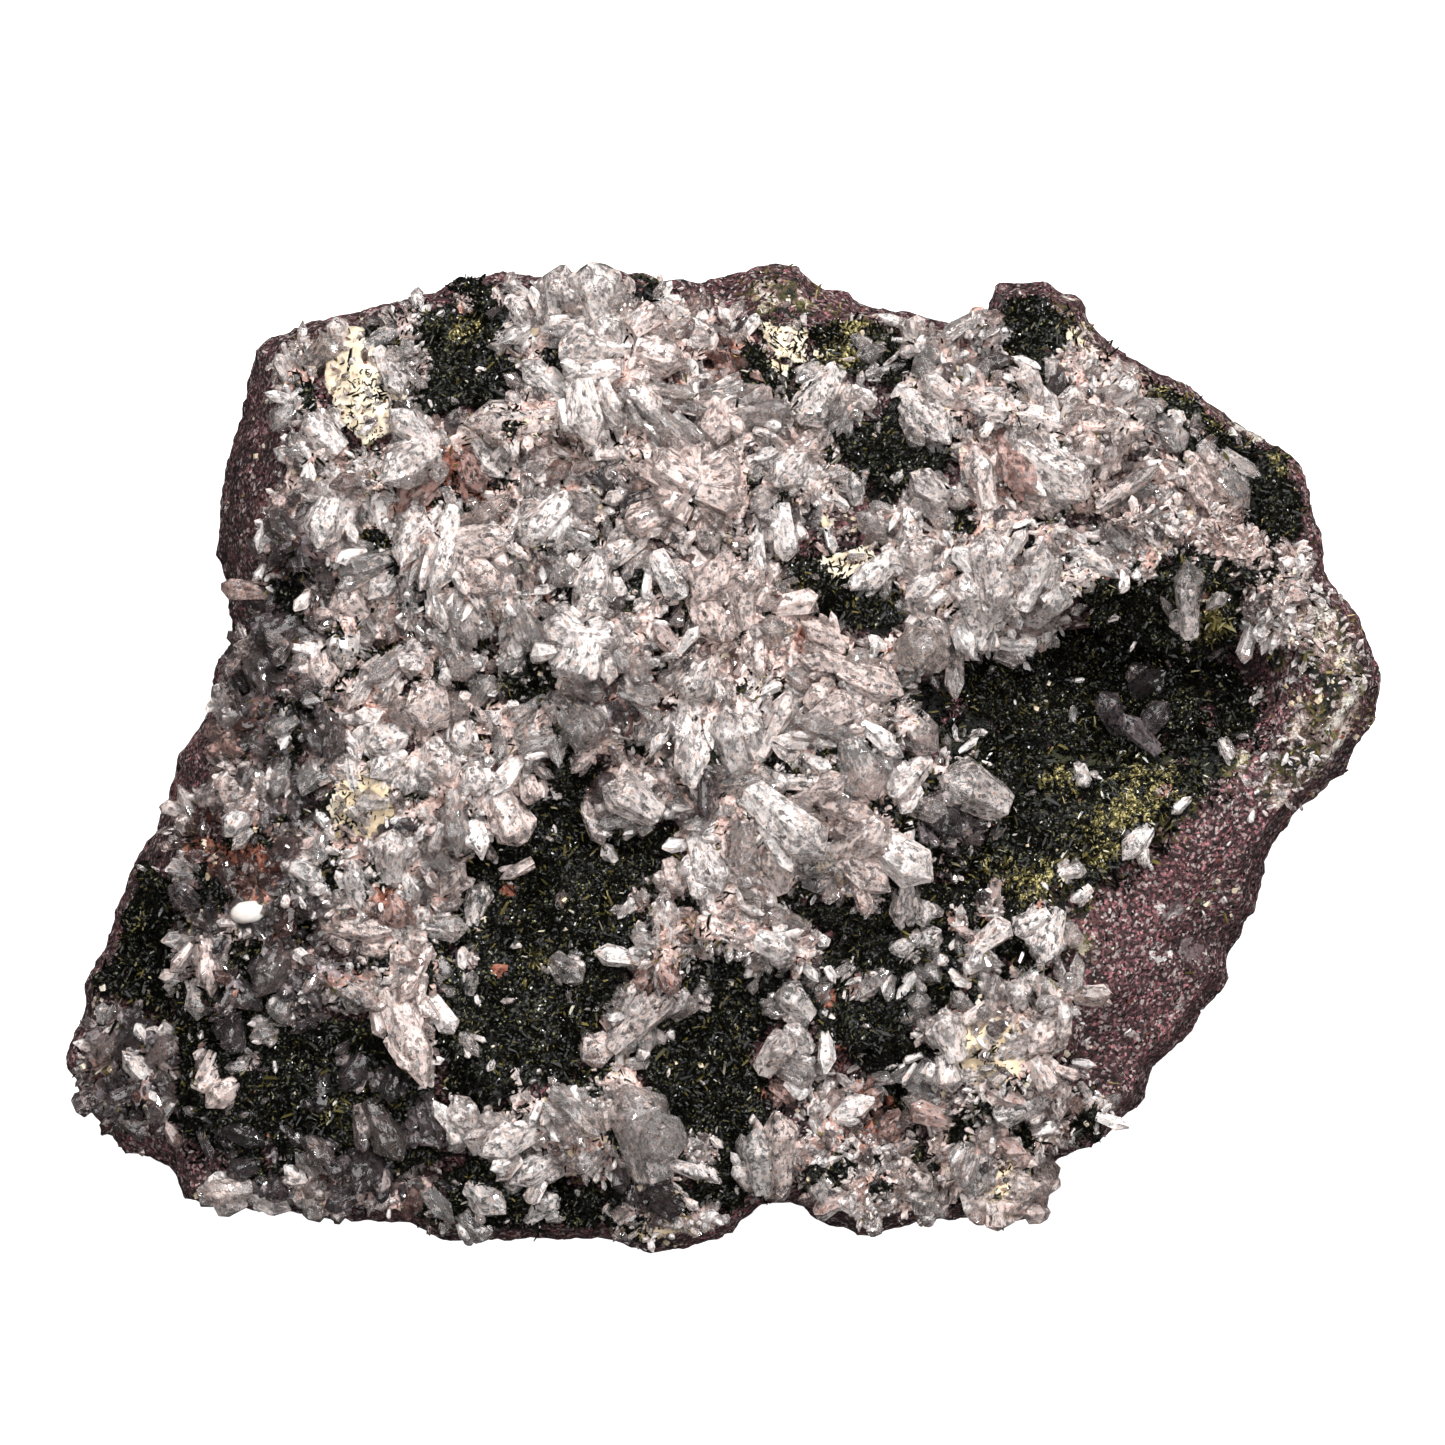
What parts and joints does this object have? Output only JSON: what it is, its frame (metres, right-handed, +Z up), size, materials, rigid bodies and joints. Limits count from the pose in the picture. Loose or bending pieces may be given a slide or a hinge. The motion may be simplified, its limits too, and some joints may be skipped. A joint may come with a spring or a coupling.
{
  "type": "epidote crystal cluster",
  "caption": "Broken slab of volcanic rock lying on its back, its upper side grown over with dark green epidote crust and clear to pink quartz crystals.",
  "frame": {"origin": "middle of the outline on the surface that the rock lies on", "axes": "+X along the slab's length to the right as the picture shows it, +Y towards the picture's top, +Z up through the crystal face"},
  "size_m": [0.17, 0.1278, 0.0545],
  "materials": {
    "rock": "rough broken volcanic rock, purple-brown with pale specks",
    "epidote": "glassy blades in a sparkling druse, near-black green with yellow-green rims",
    "quartz": "glassy crystal faces over a milky pink body",
    "feldspar": "dull cream, fine grained",
    "bead": "waxy off-white"
  },
  "bodies": {
    "root": {"host_rock": "rock", "epidote_hollow": "epidote", "epidote_ledge": "epidote", "quartz_ledge": "quartz", "epidote_top_left": "epidote", "epidote_top_right": "epidote", "epidote_band": "epidote", "epidote_peninsula": "epidote", "epidote_right_edge": "epidote", "epidote_lip": "epidote", "epidote_middle": "epidote", "epidote_slope": "epidote", "epidote_right_basin": "epidote", "epidote_left_basin": "epidote", "epidote_basin": "epidote", "epidote_lower_left": "epidote", "epidote_bottom": "epidote", "feldspar_top_left": "feldspar", "feldspar_top": "feldspar", "quartz_top_burst": "quartz", "quartz_crown": "quartz", "quartz_upper_left": "quartz", "quartz_left_white": "quartz", "quartz_upper_middle": "quartz", "quartz_upper_inner": "quartz", "quartz_upper_right": "quartz", "quartz_spray": "quartz", "quartz_right_arc": "quartz", "quartz_white_ball": "quartz", "quartz_centre": "quartz", "quartz_heart": "quartz", "quartz_middle_right": "quartz", "quartz_left_shade": "quartz", "quartz_left_column": "quartz", "quartz_left_rust": "quartz", "quartz_prism_band": "quartz", "quartz_pillar": "quartz", "quartz_lower_white": "quartz", "quartz_bottom_right": "quartz", "quartz_bottom_left": "quartz", "quartz_crystal_1": "quartz", "quartz_crystal_2": "quartz", "quartz_crystal_3": "quartz", "quartz_crystal_4": "quartz", "quartz_crystal_5": "quartz", "quartz_crystal_6": "quartz", "quartz_crystal_7": "quartz", "quartz_crystal_8": "quartz", "quartz_crystal_9": "quartz", "quartz_hollow": "quartz", "waxy_bead": "bead"}
  },
  "joints": []
}
